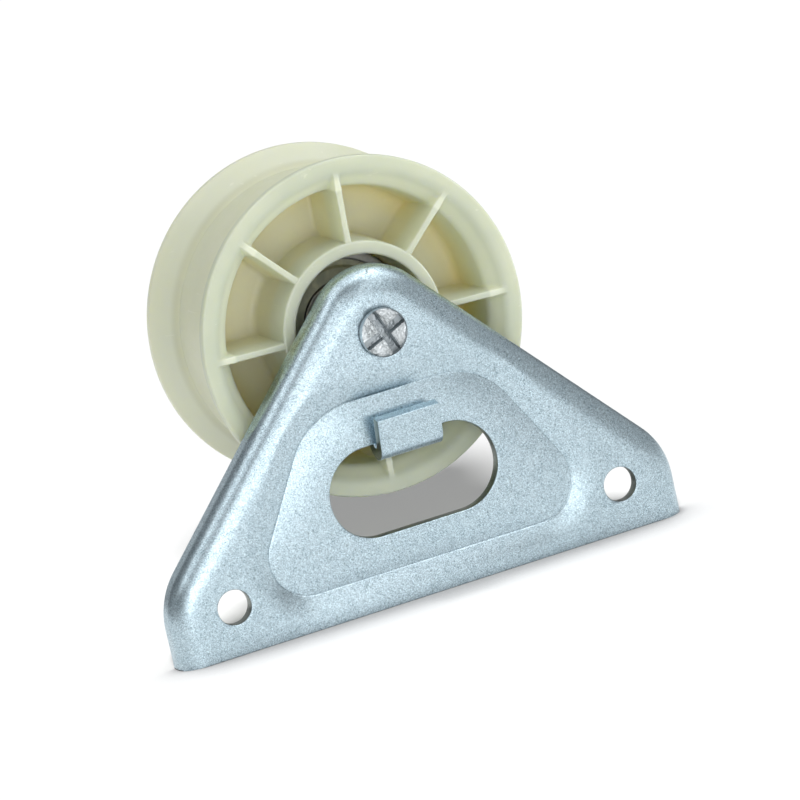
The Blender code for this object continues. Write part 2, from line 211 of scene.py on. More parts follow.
# The mesh attribute that marks where a sheet was cut
SHEARED = "sheared"

# How finely curved shapes are divided
BRACKET_RAYS = 420
DOME_STEPS = 10
DOME_CROWDING = 1.3
WALL_STEPS = 16
BEND_STEPS = 9
LIP_STEPS = 4
MOUTH_STEPS = 3
HOOK_OUTSIDE_STEPS = 20
HOOK_INSIDE_STEPS = 14
NICK_STEPS = 15
HOLE_SIDES = 96
RING_SIDES = 128
PIN_SIDES = 144
TIP_STEPS = 45
ARC_STEPS = 5
RACE_STEPS = 14
CAGE_STEPS = 40
PULLEY_RUN = 1.2
RIB_TOP_SHARES = (0.0, 0.45, 0.85)
RIB_EDGE_STEPS = 4
RIB_FOOT_STEPS = 5
BETWEEN_RIBS = 7

# Smooth shading stays inside a rounded corner: a point is held this close to its ends
HOLD = 0.12

# Edges sharper than these angles, in degrees, keep their crease in the shading
SHARP = 40
SHARP_ON_BRACKET = 32
SHARP_ON_PULLEY = 50

# Camera: place and aim in mm, and the lens in mm on Blender's usual sensor
CAMERA_AT = Vector((-264.8, -735.35, 201.7))
CAMERA_AIM = Vector((0.0, -2.18, 30.76))
CAMERA_ROLL = math.radians(-12.756)
CAMERA_LENS = 238.5

# A floor this many metres wide, darkened by a painted shadow within CONTACT_REACH mm of the part, and a grey
# world
FLOOR_SIZE = 6.0
CONTACT_REACH = 14.0
WORLD_GREY = (0.50, 0.51, 0.52)
WORLD_STRENGTH = 0.32

# Softboxes for the part: name, where it hangs and what it faces in mm, width and height in metres, watts
SOFTBOXES = [
    ("overhead", (30, 120, 1500), (0, 10, 30), 2.2, 2.2, 17.0),
    ("left_top", (-890, -545, 928), (0, 10, 20), 0.7, 0.6, 1.9),
    ("left_middle", (-322, -978, 416), (0, 0, 30), 0.45, 0.40, 1.0),
    ("right_top", (675, -525, 1230), (0, 10, 40), 1.2, 1.2, 6.5),
    ("right_middle", (866, -610, 320), (0, 0, 30), 0.5, 0.5, 0.25),
    ("left_card", (-1200, 60, 260), (0, 0, 30), 1.2, 0.8, 0.5),
    ("right_card", (1200, 100, 350), (0, 0, 30), 1.2, 0.8, 0.8),
    ("low_front", (-40, -250, 36), (-15, 0, 15), 0.24, 0.09, 0.135),
    ("low_left", (-120, -240, 8), (-30, 0, 8), 0.14, 0.08, 0.05),
    ("front_fill", (450, -1150, 560), (0, 0, 20), 0.6, 0.5, 1.2),
    ("back_card", (-100, 1500, 480), (0, 0, 30), 1.6, 0.7, 1.6),
]

# Softbox for the pulley alone, low on its right, in the same units
PULLEY_LIGHTS = [
    ("pulley_fill", (950, -620, 160), (10, 0, 35), 0.7, 0.7, 4.6),
]

# Broad light for the floor: name, direction it comes from, width in degrees, watts per square metre
FLOOR_LIGHTS = [
    ("floor_key", (-0.22, -0.64, 0.74), 14, 3.6),
    ("floor_top", (-0.10, 0.08, 0.99), 8, 0.66),
]


# ---------------------------------------------------------------- meshes

def add_object(name, mesh, finish=None, height=0.0, depth=0.0, sharp=SHARP):
    """Put a mesh in the scene, at x = 0 and that depth and height. A tool has no finish."""
    made = bpy.data.objects.new(name, mesh)
    bpy.context.collection.objects.link(made)
    made.location = (0.0, depth * MM, height * MM)
    if finish:
        mesh.materials.clear()
        mesh.materials.append(finish)
        mesh.shade_smooth()
        mesh.set_sharp_from_angle(angle=math.radians(sharp))
    return made


def loft(name, rings, closed=True):
    """A mesh through rings of (x, y, z) points: closed into a loop, or capped at its two ends."""
    work = bmesh.new()
    rows = [[work.verts.new([value * MM for value in point]) for point in ring] for ring in rings]
    pairs = list(zip(rows, rows[1:]))
    if closed:
        pairs.append((rows[-1], rows[0]))
    else:
        work.faces.new(rows[0])
        work.faces.new(rows[-1])
    for here, there in pairs:
        for index in range(len(here)):
            work.faces.new((here[index - 1], here[index], there[index], there[index - 1]))
    bmesh.ops.recalc_face_normals(work, faces=work.faces)
    mesh = bpy.data.meshes.new(name)
    work.to_mesh(mesh)
    work.free()
    return mesh


def around_axis(radius, y, sides):
    """Points evenly spaced on a circle round the Y axis."""
    angles = [2 * math.pi * step / sides for step in range(sides)]
    return [(radius * math.cos(a), y, radius * math.sin(a)) for a in angles]


def turned(name, profile, sides=RING_SIDES, closed=True):
    """A mesh turned about the Y axis from a profile of (radius, y) points."""
    return loft(name, [around_axis(radius, y, sides) for radius, y in profile], closed)


def prism(name, outline, thickness):
    """A mesh extruded along X, centred on x = 0, from an outline of (y, z) points."""
    sides = (-thickness / 2, thickness / 2)
    return loft(name, [[(x, y, z) for y, z in outline] for x in sides], closed=False)


def joined(name, placed):
    """One mesh from several (mesh, offset in mm)."""
    work = bmesh.new()
    for mesh, offset in placed:
        first = len(work.verts)
        work.from_mesh(mesh)
        work.verts.ensure_lookup_table()
        for vertex in work.verts[first:]:
            vertex.co += Vector(offset) * MM
    mesh = bpy.data.meshes.new(name)
    work.to_mesh(mesh)
    work.free()
    return mesh


def arc(centre, radius, start, end, steps):
    """Points (u, v) from start to end, in degrees, about a centre."""
    angles = [math.radians(start + (end - start) * step / steps) for step in range(steps + 1)]
    return [(centre[0] + radius * math.cos(a), centre[1] + radius * math.sin(a)) for a in angles]


def rounded(corners, closed=False, steps=ARC_STEPS, longest=None):
    """Points along straight runs through (u, v, radius) corners, each turned into an arc of that radius.

    An arc is made smaller where a run is too short for it. A point is held close to each arc's ends, and
    runs longer than longest are cut up.
    """
    arc_share = 0.42
    hold_share = 0.3
    places = [np.array(corner[:2], float) for corner in corners]
    count = len(corners)
    points = []
    for index, (here, corner) in enumerate(zip(places, corners)):
        radius = corner[2]
        at_end = not closed and index in (0, count - 1)
        if at_end or radius == 0:
            points.append(here)
            continue
        back = places[index - 1] - here
        ahead = places[(index + 1) % count] - here
        room = min(np.linalg.norm(back), np.linalg.norm(ahead))
        back = back / np.linalg.norm(back)
        ahead = ahead / np.linalg.norm(ahead)
        half = math.acos(max(-1.0, min(1.0, float(back @ ahead)))) / 2
        reach = min(radius / math.tan(half), arc_share * room)
        radius = reach * math.tan(half)
        middle = back + ahead
        centre = here + middle / np.linalg.norm(middle) * radius / math.sin(half)
        first = here + back * reach - centre
        last = here + ahead * reach - centre
        start = math.atan2(first[1], first[0])
        sweep = math.remainder(math.atan2(last[1], last[0]) - start, 2 * math.pi)
        hold = min(HOLD, hold_share * (room / 2 - reach))
        points.append(here + back * (reach + hold))
        for step in range(steps + 1):
            a = start + sweep * step / steps
            points.append(centre + radius * np.array((math.cos(a), math.sin(a))))
        points.append(here + ahead * (reach + hold))
    if longest is None:
        return [tuple(point) for point in points]
    fine = []
    ends = points[1:] + ([points[0]] if closed else [])
    for here, there in zip(points, ends):
        cuts = max(1, math.ceil(np.linalg.norm(there - here) / longest))
        fine += [tuple(here + (there - here) * cut / cuts) for cut in range(cuts)]
    if not closed:
        fine.append(tuple(points[-1]))
    return fine


def apply_modifiers(made):
    """Turn an object's modifiers into plain mesh."""
    bpy.context.view_layer.update()
    graph = bpy.context.evaluated_depsgraph_get()
    mesh = bpy.data.meshes.new_from_object(made.evaluated_get(graph))
    made.modifiers.clear()
    made.data = mesh


def combine(target, tool, operation):
    """Apply a Boolean and remove its tool."""
    modifier = target.modifiers.new(tool.name, "BOOLEAN")
    modifier.operation = operation
    modifier.object = tool
    apply_modifiers(target)
    bpy.data.objects.remove(tool)


def place(made, body, slot, *nodes):
    """Say what a piece moves with and which CAD nodes it stands for. The slot, the name of its finish, is
    not used.
    """
    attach(made, body)
    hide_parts(*nodes)


# ---------------------------------------------------------------- materials

class Shading:
    """A node material built on a Principled shader, in the object's own coordinates."""

    def __init__(self, name, roughness, metallic=0.0, **settings):
        self.material = bpy.data.materials.new(name)
        self.material.use_nodes = True
        self.tree = self.material.node_tree
        self.shader = self.tree.nodes["Principled BSDF"]
        self.shader.inputs["Roughness"].default_value = roughness
        self.shader.inputs["Metallic"].default_value = metallic
        for name_of_input, value in settings.items():
            self.shader.inputs[name_of_input.replace("_", " ")].default_value = value
        self.coordinates = self.node("ShaderNodeTexCoord").outputs["Object"]

    def node(self, kind, links=(), **settings):
        """Add a node, set its properties, and feed its inputs with sockets or values."""
        made = self.tree.nodes.new(kind)
        for key, value in settings.items():
            setattr(made, key, value)
        for key, source in dict(links).items():
            self.feed(made.inputs[key], source)
        return made

    def feed(self, socket, source):
        """Link a socket into an input, or set the input to a value."""
        if isinstance(source, bpy.types.NodeSocket):
            self.tree.links.new(source, socket)
        else:
            socket.default_value = source

    def stretched(self, scale, turn=(0.0, 0.0, 0.0)):
        """The object's coordinates, scaled along each axis and turned."""
        mapping = {"Vector": self.coordinates, "Scale": scale, "Rotation": turn}
        return self.node("ShaderNodeMapping", mapping).outputs["Vector"]

    def noise(self, size, detail=2.0, coordinates=None, rough=0.5):
        """Noise whose features are about size mm across, from 0 to 1."""
        links = {
            "Vector": coordinates or self.coordinates,
            "Scale": 1 / (size * MM),
            "Detail": detail,
            "Roughness": rough,
        }
        return self.node("ShaderNodeTexNoise", links).outputs["Fac"]

    def spots(self, size):
        """Distance to the nearest of scattered points about size mm apart."""
        links = {"Vector": self.coordinates, "Scale": 1 / (size * MM)}
        return self.node("ShaderNodeTexVoronoi", links).outputs["Distance"]

    def cells(self, size):
        """Grains about size mm across, each with its own value from 0 to 1."""
        links = {"Vector": self.coordinates, "Scale": 1 / (size * MM)}
        grains = self.node("ShaderNodeTexVoronoi", links)
        return self.node("ShaderNodeSeparateColor", {0: grains.outputs["Color"]}).outputs[0]

    def between(self, source, low, high, to_low=0.0, to_high=1.0):
        """Source's range low to high, mapped onto another range and held inside it."""
        links = {0: source, 1: low, 2: high, 3: to_low, 4: to_high}
        return self.node("ShaderNodeMapRange", links, interpolation_type="SMOOTHSTEP").outputs[0]

    def along_axis(self):
        """Distance along the turning axis, in metres."""
        return self.node("ShaderNodeSeparateXYZ", {0: self.coordinates}).outputs["Y"]

    def from_axis(self):
        """Distance from the turning axis, in metres."""
        across = {0: self.stretched((1.0, 0.0, 1.0))}
        return self.node("ShaderNodeVectorMath", across, operation="LENGTH").outputs["Value"]

    def math(self, operation, first, second=0.0):
        """An operation on one or two sockets or values."""
        return self.node("ShaderNodeMath", {0: first, 1: second}, operation=operation).outputs[0]

    def mix(self, share, first, second):
        """Mix two colours."""
        links = {0: share, 6: first, 7: second}
        mixer = self.node("ShaderNodeMix", data_type="RGBA")
        for key, source in links.items():
            self.feed(mixer.inputs[key], (*source, 1.0) if isinstance(source, tuple) else source)
        return mixer.outputs[2]

    def colour(self, source):
        """Set the base colour."""
        self.feed(self.shader.inputs["Base Color"], source)

    def roughness(self, source):
        """Set the roughness."""
        self.feed(self.shader.inputs["Roughness"], source)

    def bump(self, height, depth):
        """Raise the surface by depth mm where height is 1, on top of any bump before."""
        links = {"Height": height, "Distance": depth * MM, "Strength": 1.0}
        if self.shader.inputs["Normal"].is_linked:
            links["Normal"] = self.shader.inputs["Normal"].links[0].from_socket
        made = self.node("ShaderNodeBump", links)
        self.tree.links.new(made.outputs["Normal"], self.shader.inputs["Normal"])


def zinc_material():
    """Zinc-plated sheet: satin, with a fine sandy grain and a few worn and dark specks."""
    zinc = Shading("zinc_sheet", 0.42, 1.0)
    grain = zinc.cells(0.08)
    mottle = zinc.noise(1.1, 3.0, rough=0.65)
    cloud = zinc.noise(14.0, 2.0)
    tone = zinc.mix(grain, (0.14, 0.21, 0.26), (0.77, 0.92, 0.99))
    tone = zinc.mix(zinc.between(mottle, 0.4, 0.7, 0.0, 0.16), tone, (0.74, 0.86, 0.91))
    tone = zinc.mix(zinc.between(cloud, 0.35, 0.7, 0.0, 0.15), tone, (0.38, 0.50, 0.55))
    dark_specks = zinc.between(zinc.spots(1.3), 0.09, 0.17, 1.0, 0.0)
    tone = zinc.mix(zinc.math("MULTIPLY", dark_specks, 0.5), tone, (0.16, 0.21, 0.23))
    scratches = zinc.noise(1.0, 2.0, zinc.stretched((3.2, 1.0, 0.25), (0.0, 0.7, 0.0)))
    worn = zinc.between(scratches, 0.70, 0.76)
    tone = zinc.mix(zinc.math("MULTIPLY", worn, 0.5), tone, (0.26, 0.33, 0.35))
    sheared = zinc.node("ShaderNodeAttribute", attribute_name=SHEARED).outputs["Fac"]
    tone = zinc.mix(sheared, tone, zinc.mix(grain, (0.10, 0.12, 0.11), (0.24, 0.27, 0.25)))
    zinc.colour(tone)
    zinc.roughness(zinc.between(mottle, 0.3, 0.75, 0.36, 0.29))
    zinc.bump(mottle, 0.012)
    zinc.bump(zinc.noise(0.2, 1.0), 0.010)
    return zinc.material


def nylon_material():
    """Natural moulded nylon: cream with a green tint, a little light passing through and fine scuffs, with
    painted light on the rear flange and the pockets' outer walls and painted shade in the groove.
    """
    nylon = Shading("nylon", 0.42, Subsurface_Weight=0.55, Subsurface_Scale=0.005, IOR=1.5)
    nylon.shader.inputs["Subsurface Radius"].default_value = (1.0, 0.9, 0.45)
    axial = nylon.along_axis()
    depth = nylon.math("ABSOLUTE", axial)
    radius = nylon.from_axis()
    in_pocket = nylon.between(radius, (POCKET_RADIUS - 1.5) * MM, (POCKET_RADIUS + 0.8) * MM, 1.0, 0.0)
    wall_painted_light = nylon.between(radius, (POCKET_RADIUS - 0.6) * MM, POCKET_RADIUS * MM)
    below_lip = nylon.between(radius, (LIP_RADIUS - 1.5) * MM, LIP_RADIUS * MM, 1.0, 0.0)
    by_wall = nylon.between(radius, (POCKET_RADIUS - 5.0) * MM, (POCKET_RADIUS - 1.2) * MM)
    inside = nylon.math("MULTIPLY", in_pocket, nylon.between(depth, 1.0 * MM, PULLEY_HALF * MM, 1.0, 0.0))
    flange_start = (6.0 * MM, 8.0 * MM)
    groove_painted_shade = nylon.between(depth, *flange_start, 1.0, 0.0)
    cloud = nylon.noise(9.0, 2.0)
    # Painted light: the rear flange gets a lighter tone than the front flange, for the light on its flank,
    # which faces up and forwards.
    rear_flange_painted_light = nylon.between(axial, *flange_start)
    tone = nylon.mix(rear_flange_painted_light, (0.48, 0.525, 0.42), (0.62, 0.65, 0.52))
    # Painted shade: the groove between the flanges gets a darker, warmer olive than the rear flange, for the
    # shade the front flange casts into it.
    tone = nylon.mix(groove_painted_shade, tone, (0.52, 0.52, 0.34))
    tone = nylon.mix(inside, tone, nylon.mix(by_wall, (0.76, 0.73, 0.52), (0.78, 0.72, 0.42)))
    # Painted light: the pockets' outer wall, below the lip, gets a lighter tone that lifts the shade falling
    # on it.
    tone = nylon.mix(nylon.math("MULTIPLY", wall_painted_light, below_lip), tone, (0.64, 0.68, 0.53))
    tone = nylon.mix(nylon.between(cloud, 0.3, 0.7, 0.0, 0.25), tone, (0.70, 0.72, 0.57))
    scuffs = nylon.noise(1.6, 2.0, nylon.stretched((1.0, 0.3, 2.4), (0.3, 0.2, 0.5)))
    scuffed = nylon.between(scuffs, 0.68, 0.78, 0.0, 0.2)
    tone = nylon.mix(scuffed, tone, (0.88, 0.88, 0.78))
    nylon.colour(tone)
    nylon.roughness(nylon.between(nylon.noise(2.2, 3.0), 0.3, 0.7, 0.3, 0.42))
    nylon.bump(nylon.noise(2.6, 3.0), 0.02)
    nylon.bump(scuffs, 0.006)
    return nylon.material


def turned_steel_material():
    """Bright steel with turning marks around its axis, and painted shade that darkens the pin's staked
    grooves and its side next to the sheet.
    """
    steel = Shading("turned_steel", 0.3, 1.0)
    rings = steel.noise(0.5, 3.0, steel.stretched((0.2, 3.0, 0.2)))
    grain = steel.noise(0.25, 2.0)
    axial = steel.along_axis()
    below_face = steel.math("SUBTRACT", axial, steel.math("MULTIPLY", steel.from_axis(), STAKE_SLOPE))
    below_tip = steel.between(below_face, (PIN_LOW[1] + 0.4) * MM, (PIN_LOW[1] + 0.9) * MM, 0.0, 0.7)
    before_sheet = steel.between(axial, FRONT_FACE * MM, BACK_FACE * MM, 1.0, 0.0)
    staked = steel.math("MULTIPLY", below_tip, before_sheet)
    tone = steel.mix(steel.between(rings, 0.35, 0.65), (0.34, 0.37, 0.38), (0.62, 0.66, 0.68))
    tone = steel.mix(steel.between(grain, 0.55, 0.75, 0.0, 0.4), tone, (0.18, 0.19, 0.20))
    # Painted shade: darker the deeper a point lies below the sloping tip, in the staked grooves and on the
    # pin's side next to the sheet.
    tone = steel.mix(staked, tone, (0.22, 0.25, 0.27))
    steel.colour(tone)
    steel.roughness(steel.between(rings, 0.3, 0.7, 0.26, 0.4))
    steel.bump(rings, 0.006)
    steel.bump(grain, 0.01)
    return steel.material


def bearing_steel_material():
    """Ground and polished bearing steel with faint grinding lines."""
    steel = Shading("bearing_steel", 0.2, 0.75)
    lines = steel.noise(0.4, 2.0, steel.stretched((0.3, 4.0, 0.3)))
    cloud = steel.noise(3.0, 2.0)
    tone = steel.mix(steel.between(lines, 0.35, 0.65), (0.40, 0.40, 0.39), (0.54, 0.54, 0.53))
    tone = steel.mix(steel.between(cloud, 0.4, 0.7, 0.0, 0.4), tone, (0.42, 0.41, 0.33))
    steel.colour(tone)
    steel.roughness(steel.between(lines, 0.3, 0.7, 0.34, 0.46))
    steel.bump(lines, 0.003)
    return steel.material


def shield_steel_material():
    """Stamped steel, dull, in a lighter and partly non-metallic olive tone: painted light that lifts it out
    of the shade behind the bracket.
    """
    steel = Shading("shield_steel", 0.34, 0.65)
    cloud = steel.noise(2.2, 3.0)
    # Painted light: tones lighter than bare stamped steel, for the shield and cage in the shade behind the
    # bracket.
    tone = steel.mix(steel.between(cloud, 0.35, 0.7), (0.52, 0.53, 0.41), (0.78, 0.77, 0.58))
    steel.colour(tone)
    steel.roughness(steel.between(cloud, 0.3, 0.7, 0.4, 0.55))
    steel.bump(steel.noise(0.5, 2.0), 0.005)
    return steel.material


# ---------------------------------------------------------------- bracket

def belt(circles):
    """Normals of a belt drawn tight around circles, and its reach along them from the slot's middle."""
    spacing = 0.1
    facing = np.radians(np.arange(0.0, 360.0, spacing))
    normals = np.stack([np.cos(facing), np.sin(facing)], axis=1)
    centres = np.array([circle[:2] for circle in circles])
    radii = np.array([circle[2] for circle in circles])
    return normals, ((centres - SLOT_MIDDLE) @ normals.T + radii[:, None]).max(axis=0)


def belt_ring(circles, growth):
    """Points (x, z) on a belt that has grown outwards, met by rays from the slot's middle."""
    grazing = 0.02
    normals, support = belt(circles)
    rays = 2 * np.pi * np.arange(BRACKET_RAYS) / BRACKET_RAYS
    directions = np.stack([np.cos(rays), np.sin(rays)], axis=1)
    along = directions @ normals.T
    distance = np.where(along > grazing, (support + growth) / np.maximum(along, grazing), np.inf).min(axis=1)
    return SLOT_MIDDLE + directions * distance[:, None]


def outside(circles, ring):
    """How far each point of a ring lies outside a belt, and less than 0 inside it."""
    normals, support = belt(circles)
    return ((ring - SLOT_MIDDLE) @ normals.T - support).max(axis=1)


def wall_depth(ring):
    """How deep the recess's outer wall is at each point."""
    share = np.clip(outside(RECESS, ring) / WALL_WIDTH, 0.0, 1.0)
    return CREASE_DEPTH * (1 - share) ** WALL_CURVE


def sheet_face(face, inset, reach, drop):
    """One face of the pressed sheet, outwards from the slot to the flange: (ring, y of each point).

    The face curves back over its last stretch, reach wide and drop deep, and ends inset inside the outline.
    """
    slot_ring = belt_ring(SLOT, 2 * EDGE_ROUND)
    crease_ring = belt_ring(RECESS, CREASE_RINGS[0])
    layers = []
    for step in range(DOME_STEPS):
        share = 1 - (1 - step / DOME_STEPS) ** DOME_CROWDING
        depth = SLOT_EDGE_DEPTH + (CREASE_DEPTH - SLOT_EDGE_DEPTH) * share ** 2
        layers.append((slot_ring + (crease_ring - slot_ring) * share, face + depth))
    for out in CREASE_RINGS:
        ring = belt_ring(RECESS, out)
        mark = CREASE_MARK * math.exp(-((out / CREASE_MARK_RUN) ** 2))
        layers.append((ring, face + wall_depth(ring) + mark))
    first_ring = layers[-1][0]
    last_ring = belt_ring(OUTLINE, -inset - BEND_STEEP)
    for step in range(1, WALL_STEPS + 1):
        ring = first_ring + (last_ring - first_ring) * step / WALL_STEPS
        share = np.clip(1 + (outside(OUTLINE, ring) + inset) / reach, 0.0, 1.0)
        layers.append((ring, face + wall_depth(ring) + drop * (1 - np.sqrt(1 - share ** 2))))
    for turn in np.linspace(math.asin(1 - BEND_STEEP / reach), math.pi / 2, BEND_STEPS + 1)[1:]:
        ring = belt_ring(OUTLINE, reach * (math.sin(turn) - 1) - inset)
        layers.append((ring, face + wall_depth(ring) + drop * (1 - math.cos(turn))))
    return layers


def pressed_sheet():
    """The pan: front face outwards from the slot, round the flange's end, and back along the rear face."""
    slot_front = FRONT_FACE + SLOT_EDGE_DEPTH
    slot_back = BACK_FACE + SLOT_EDGE_DEPTH
    front_lip = arc((EDGE_ROUND, slot_front + EDGE_ROUND), EDGE_ROUND, 180, 270, LIP_STEPS)
    back_lip = arc((EDGE_ROUND, slot_back - EDGE_ROUND), EDGE_ROUND, 90, 180, LIP_STEPS)
    flange = rounded(
        [
            (0.0, FRONT_FACE + BEND_DROP, 0),
            (0.0, FLANGE_END, EDGE_ROUND),
            (-SHEET, FLANGE_END, EDGE_ROUND),
            (-SHEET, BACK_FACE + BEND_DROP - SHEET, 0),
        ]
    )
    path = [(belt_ring(SLOT, growth), y) for growth, y in front_lip]
    path += sheet_face(FRONT_FACE, 0.0, BEND_REACH, BEND_DROP)
    path += [(belt_ring(OUTLINE, growth), y) for growth, y in flange[1:-1]]
    path += reversed(sheet_face(BACK_FACE, SHEET, BEND_REACH - SHEET, BEND_DROP - SHEET))
    path += [(belt_ring(SLOT, growth), y) for growth, y in back_lip]
    rings = []
    for ring, depths in path:
        rings.append([(x, y, z) for (x, z), y in zip(ring, np.broadcast_to(depths, BRACKET_RAYS))])
    return loft("bracket", rings)


def hook_mesh():
    """The spring hook: down from the sheet, forwards, and up to its tip, with its edges rounded."""
    root_z = SLOT_HEIGHT + SLOT_WIDTH / 2
    inner_face = FRONT_FACE + SLOT_EDGE_DEPTH + HOOK_SINK
    middle = (inner_face - HOOK_FOLD, root_z)
    sweep = -180 + math.degrees(HOOK_LEAN)
    outer_bend = arc(middle, HOOK_FOLD + HOOK_SHEET, 0, sweep, HOOK_OUTSIDE_STEPS)
    inner_bend = arc(middle, HOOK_FOLD, sweep, 0, HOOK_INSIDE_STEPS)
    lean_y = -HOOK_RISE * math.sin(HOOK_LEAN)
    lean_z = HOOK_RISE * math.cos(HOOK_LEAN)
    tip_front = (outer_bend[-1][0] + lean_y, outer_bend[-1][1] + lean_z)
    tip_back = (inner_bend[0][0] + lean_y, inner_bend[0][1] + lean_z)
    root = [(inner_face, root_z + HOOK_ROOT), (inner_face + HOOK_SHEET, root_z + HOOK_ROOT)]
    return prism("hook", outer_bend + [tip_front, tip_back] + inner_bend + root, HOOK_WIDTH)


def hole_tool(radius, rounding):
    """A cutter for a round hole through the sheet, with rounded mouths."""
    mouth = radius + rounding
    sweep = 60
    reach = 0.6
    front = arc((mouth, FRONT_FACE + rounding), -rounding, sweep, 0, MOUTH_STEPS)
    back = arc((mouth, BACK_FACE - rounding), -rounding, 0, -sweep, MOUTH_STEPS)
    profile = [(front[0][0] + reach, front[0][1] - reach / 2)]
    profile += front + back
    profile += [(back[-1][0] + reach, back[-1][1] + reach / 2)]
    return turned("hole", profile, sides=HOLE_SIDES, closed=False)


def base_tool():
    """A cutter for everything below the base edge, which leaves that edge rounded front and back."""
    deep = -60.0
    reach = 0.3
    front = arc((FRONT_FACE + EDGE_ROUND, EDGE_ROUND), EDGE_ROUND, 200, 270, LIP_STEPS)
    back = arc((BACK_FACE - EDGE_ROUND, EDGE_ROUND), EDGE_ROUND, 270, 340, LIP_STEPS)
    front = [(front[0][0] - reach, deep), (front[0][0] - reach, front[0][1] + reach)] + front
    past_flange = FLANGE_END + 5.0
    back += [(back[-1][0] + reach, back[-1][1]), (past_flange, back[-1][1]), (past_flange, deep)]
    return prism("below_base", front + back, 4 * HALF_WIDTH)


def nick_tool():
    """A thin curved rod that dents the sheet where it lies along the surface."""
    rings = []
    through = np.array((0.0, 1.0, 0.0))
    end_share = 0.3
    for turn in np.radians(np.linspace(NICK_START, NICK_END, NICK_STEPS)):
        thin = NICK_DEPTH * (end_share + (1 - end_share) * math.cos(turn))
        across = np.array((math.cos(turn), 0.0, math.sin(turn)))
        middle = np.array((NICK_CENTRE[0], FRONT_FACE, NICK_CENTRE[1])) + NICK_RADIUS * across
        inwards = APEX_RADIUS - math.hypot(middle[0], middle[2] - AXLE_HEIGHT)
        share = min(1.0, max(0.0, 1 - inwards / BEND_REACH))
        middle[1] += BEND_DROP * (1 - math.sqrt(1 - share ** 2))
        ring = []
        for side in np.radians(np.arange(0, 360, 45)):
            ring.append(middle + thin * (math.cos(side) * across + math.sin(side) * through))
        rings.append(ring)
    return loft("nick", rings, closed=False)


def mark_sheared(mesh):
    """Mark the cut faces, where bare steel shows: holes, slot, base edge and the hook's sides."""
    bend_start = belt_ring(OUTLINE, -1.5 * SHEET)
    reach = np.linalg.norm(bend_start - SLOT_MIDDLE, axis=1)
    nearly_square = 0.9
    steep = 0.25
    marks = mesh.attributes.new(SHEARED, "FLOAT", "FACE")
    for face, mark in zip(mesh.polygons, marks.data):
        across = np.array([face.center.x, face.center.z]) / MM - SLOT_MIDDLE
        ray = int(round(math.atan2(across[1], across[0]) / (2 * math.pi) * BRACKET_RAYS)) % BRACKET_RAYS
        base_edge = face.normal.z <= -nearly_square
        hook_side = abs(face.normal.x) >= nearly_square
        in_bend = np.linalg.norm(across) > reach[ray] and not base_edge
        folded = face.center.y < (FRONT_FACE - PLAY) * MM and not hook_side
        mark.value = float(abs(face.normal.y) < steep and not in_bend and not folded)


def make_bracket(zinc):
    """The pressed sheet with its hook, screw holes, pin hole and nick, cut off square at its base edge."""
    bracket = add_object("bracket_plate", pressed_sheet(), zinc)
    hook = add_object("hook_tool", hook_mesh())
    edges = hook.modifiers.new("edges", "BEVEL")
    edges.width = HOOK_EDGE * MM
    edges.segments = 3
    edges.limit_method = "ANGLE"
    edges.angle_limit = math.radians(60)
    apply_modifiers(hook)
    combine(bracket, hook, "UNION")
    screw_hole = hole_tool(SCREW_HOLE_RADIUS, HOLE_MOUTH)
    tools = [
        (screw_hole, (-SCREW_SPACING / 2, 0.0, SCREW_HEIGHT)),
        (screw_hole, (SCREW_SPACING / 2, 0.0, SCREW_HEIGHT)),
        (hole_tool(TENON_RADIUS + TENON_PLAY, TENON_PLAY), (0.0, 0.0, AXLE_HEIGHT)),
        (nick_tool(), (0.0, 0.0, 0.0)),
    ]
    combine(bracket, add_object("hole_tools", joined("hole_tools", tools)), "DIFFERENCE")
    combine(bracket, add_object("below_base", base_tool()), "DIFFERENCE")
    mark_sheared(bracket.data)
    bracket.data.shade_smooth()
    bracket.data.set_sharp_from_angle(angle=math.radians(SHARP_ON_BRACKET))
    place(bracket, "bracket", "zinc_sheet", "bracket")


# ---------------------------------------------------------------- pulley

def rib_section(radius, height):
    """Half of a rib's cross-section at a radius, from its middle to its foot: (across, lift) points."""
    near_hub = math.exp(-max(radius - HUB_RADIUS, 0.0) / RIB_FLARE_RUN)
    near_rim = math.exp(-abs(POCKET_RADIUS - radius) / RIB_FLARE_RUN)
    half = RIB_THICKNESS / 2 + RIB_FLARE * (near_hub + near_rim)
    edge = min(RIB_EDGE, RIB_ROUND_SHARE * height)
    foot = min(RIB_FOOT, RIB_ROUND_SHARE * height)
    section = [((half - RIB_EDGE) * share, height) for share in RIB_TOP_SHARES]
    for step in range(RIB_EDGE_STEPS + 1):
        a = math.pi / 2 * step / RIB_EDGE_STEPS
        section.append((half - RIB_EDGE + RIB_EDGE * math.sin(a), height - edge * (1 - math.cos(a))))
    for step in range(RIB_FOOT_STEPS + 1):
        a = math.pi / 2 * step / RIB_FOOT_STEPS
        across = half + RIB_DRAFT + RIB_FOOT * (1 - math.cos(a))
        section.append((across, foot * (1 - math.sin(a))))
    return section


def pulley_ring(radius, y, height, side):
    """One ring of the pulley, raised by the ribs where it lies in a pocket."""
    section = rib_section(radius, height)
    half_sector = math.pi / RIB_COUNT
    angles = [across / radius for across, lift in section]
    lifts = [lift for across, lift in section]
    foot = angles[-1]
    for step in range(1, BETWEEN_RIBS + 1):
        angles.append(foot + (half_sector - foot) * step / BETWEEN_RIBS)
        lifts.append(0.0)
    offsets = [-a for a in reversed(angles[1:-1])] + angles
    raised = list(reversed(lifts[1:-1])) + lifts
    ring = []
    for rib in range(RIB_COUNT):
        for offset, lift in zip(offsets, raised):
            a = RIB_PHASE + 2 * half_sector * rib + offset
            ring.append((radius * math.cos(a), y + side * lift, radius * math.sin(a)))
    return ring


